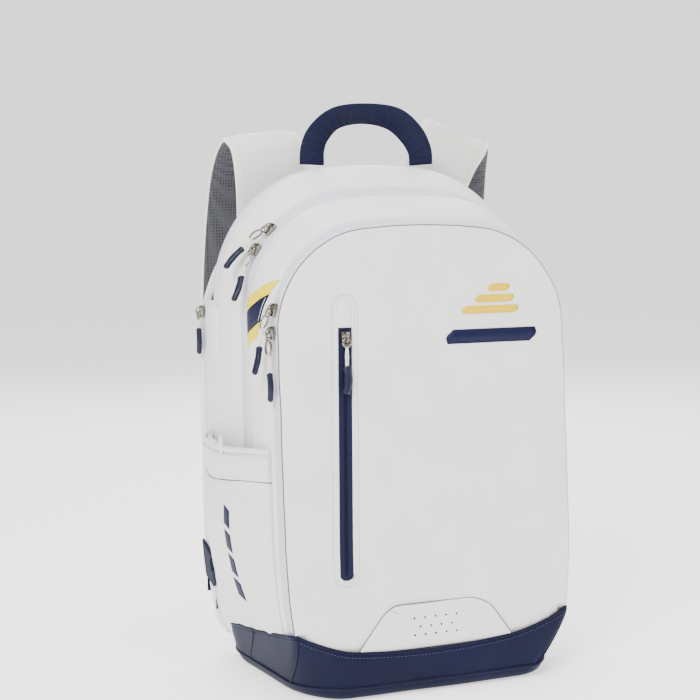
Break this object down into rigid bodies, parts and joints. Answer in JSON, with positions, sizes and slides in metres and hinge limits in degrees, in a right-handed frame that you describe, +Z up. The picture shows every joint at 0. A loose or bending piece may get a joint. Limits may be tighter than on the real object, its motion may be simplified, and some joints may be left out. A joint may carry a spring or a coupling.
{
  "type": "racket backpack",
  "caption": "Arched sports backpack with a rear racket bay, slanted front zip, bottle pockets, webbing carry handle and padded shoulder straps on a moulded boot.",
  "frame": {"origin": "on the boot's flat bottom, midway across the bag and 92 mm in front of the back panel's rear face", "axes": "+Z up, -Y out of the front panel, +X to the right as the front is seen"},
  "size_m": [0.3636, 0.293, 0.5411],
  "materials": {
    "white_shell": "satin grained",
    "navy_boot": "smooth semi-gloss",
    "pale_tape": "woven",
    "navy_tape": "woven",
    "navy_webbing": "ribbed",
    "navy_rubber": "moulded",
    "navy_plastic": "moulded",
    "nickel": "polished",
    "yellow_print": "printed",
    "navy_print": "printed",
    "mesh": "spacer mesh",
    "lining": "woven",
    "board": "matte",
    "rim_elastic": "gathered"
  },
  "bodies": {
    "bag": {"back_board": "board", "back_pad_left": "mesh", "back_pad_right": "mesh", "back_panel": "white_shell", "base_board": "board", "boot": "navy_boot", "divider": "lining", "front_gusset": "white_shell", "front_lining": "lining", "front_panel": "white_shell", "front_pocket_zip_tape": "pale_tape", "front_zip_coil": "navy_tape", "front_zip_garage": "white_shell", "front_zip_tape": "navy_tape", "lower_trim_panel": "white_shell", "lumbar_pad": "mesh", "main_zip_tape": "pale_tape", "mouth_tape_front": "pale_tape", "mouth_tape_rear": "pale_tape", "pocket_rim_left": "rim_elastic", "pocket_rim_right": "rim_elastic", "racket_gusset_left": "white_shell", "racket_gusset_right": "white_shell", "racket_zip_tape_left": "pale_tape", "racket_zip_tape_right": "pale_tape", "rear_gusset": "white_shell", "side_pocket_left": "white_shell", "side_pocket_right": "white_shell", "strap_root_left": "white_shell", "strap_root_right": "white_shell", "strap_wing_left": "navy_webbing", "strap_wing_right": "navy_webbing", "stripe_lower": "yellow_print", "stripe_middle": "navy_print", "stripe_upper": "yellow_print"},
    "handle": {"carry_handle": "navy_webbing"},
    "strap_left": {"shoulder_strap_left": "white_shell", "strap_webbing_left": "navy_webbing", "ladder_lock_left": "navy_plastic"},
    "strap_right": {"shoulder_strap_right": "white_shell", "strap_webbing_right": "navy_webbing", "ladder_lock_right": "navy_plastic"},
    "slider_main_upper": {"slider_main_upper": "nickel"},
    "pull_main_upper": {"pull_main_upper": "navy_rubber"},
    "slider_main_lower": {"slider_main_lower": "nickel"},
    "pull_main_lower": {"pull_main_lower": "navy_rubber"},
    "slider_pocket_upper": {"slider_pocket_upper": "nickel"},
    "pull_pocket_upper": {"pull_pocket_upper": "navy_rubber"},
    "slider_pocket_lower": {"slider_pocket_lower": "nickel"},
    "pull_pocket_lower": {"pull_pocket_lower": "navy_rubber"},
    "slider_front": {"slider_front": "nickel"},
    "pull_front": {"pull_front": "navy_rubber"},
    "slider_bay_left": {"slider_bay_left": "nickel"},
    "pull_bay_left": {"pull_bay_left": "navy_rubber"},
    "slider_bay_right": {"slider_bay_right": "nickel"},
    "pull_bay_right": {"pull_bay_right": "navy_rubber"}
  },
  "joints": [
    {"name": "handle_swing", "type": "hinge", "parent": "bag", "child": "handle", "pos_m": [0, 0.05, 0.483], "axis": [1, 0, 0], "range_deg": [-55, 60]},
    {"name": "strap_left_swing", "type": "hinge", "parent": "bag", "child": "strap_left", "pos_m": [-0.08, 0.107, 0.485], "axis": [-0.1572, -0.0105, -0.9875], "range_deg": [-12, 18]},
    {"name": "strap_right_swing", "type": "hinge", "parent": "bag", "child": "strap_right", "pos_m": [0.109, 0.107, 0.485], "axis": [-0.082, 0.0106, 0.9966], "range_deg": [-20, 20]},
    {"name": "main_upper_zip_travel", "type": "hinge", "parent": "bag", "child": "slider_main_upper", "pos_m": [-0.04112, -0.01913, 0.3442], "axis": [0, 0.9995, -0.0301], "range_deg": [-5, 45]},
    {"name": "main_upper_pull_swing", "type": "hinge", "parent": "slider_main_upper", "child": "pull_main_upper", "pos_m": [-0.12509, -0.01858, 0.42255], "axis": [0.1321, 0.8341, 0.5355], "range_deg": [0, 120]},
    {"name": "main_lower_zip_travel", "type": "hinge", "parent": "bag", "child": "slider_main_lower", "pos_m": [-0.04112, -0.01913, 0.3442], "axis": [0, 0.9995, -0.0301], "range_deg": [-30, 4]},
    {"name": "main_lower_pull_swing", "type": "hinge", "parent": "slider_main_lower", "child": "pull_main_lower", "pos_m": [-0.13962, -0.01887, 0.40342], "axis": [-0.2377, 0.9647, 0.1137], "range_deg": [0, 120]},
    {"name": "pocket_upper_zip_travel", "type": "hinge", "parent": "bag", "child": "slider_pocket_upper", "pos_m": [-0.04695, -0.08276, 0.32964], "axis": [0, 0.9979, -0.0643], "range_deg": [-2, 38]},
    {"name": "pocket_upper_pull_swing", "type": "hinge", "parent": "slider_pocket_upper", "child": "pull_pocket_upper", "pos_m": [-0.14569, -0.08246, 0.35069], "axis": [-0.0594, 0.8818, 0.468], "range_deg": [0, 120]},
    {"name": "pocket_lower_zip_travel", "type": "slide", "parent": "bag", "child": "slider_pocket_lower", "axis": [0, -0.0643, -0.9979], "range_m": [0, 0.17]},
    {"name": "pocket_lower_pull_swing", "type": "hinge", "parent": "slider_pocket_lower", "child": "pull_pocket_lower", "pos_m": [-0.14795, -0.08347, 0.32968], "axis": [-0.1297, 0.9895, -0.0638], "range_deg": [0, 120]},
    {"name": "front_zip_travel", "type": "slide", "parent": "bag", "child": "slider_front", "axis": [-0.0319, -0.0705, -0.997], "range_m": [0, 0.2]},
    {"name": "front_pull_swing", "type": "hinge", "parent": "slider_front", "child": "pull_front", "pos_m": [-0.08009, -0.10055, 0.32339], "axis": [-0.9995, 0.0023, 0.0318], "range_deg": [0, 120]},
    {"name": "bay_left_zip_travel", "type": "slide", "parent": "bag", "child": "slider_bay_left", "axis": [0, 0, -1], "range_m": [0, 0.2]},
    {"name": "bay_left_pull_swing", "type": "hinge", "parent": "slider_bay_left", "child": "pull_bay_left", "pos_m": [-0.1635, 0.0835, 0.34], "axis": [0, 1, 0], "range_deg": [0, 120]},
    {"name": "bay_right_zip_travel", "type": "slide", "parent": "bag", "child": "slider_bay_right", "axis": [0, 0, -1], "range_m": [0, 0.2]},
    {"name": "bay_right_pull_swing", "type": "hinge", "parent": "slider_bay_right", "child": "pull_bay_right", "pos_m": [0.1635, 0.0835, 0.34], "axis": [0, -1, 0], "range_deg": [0, 120]}
  ]
}
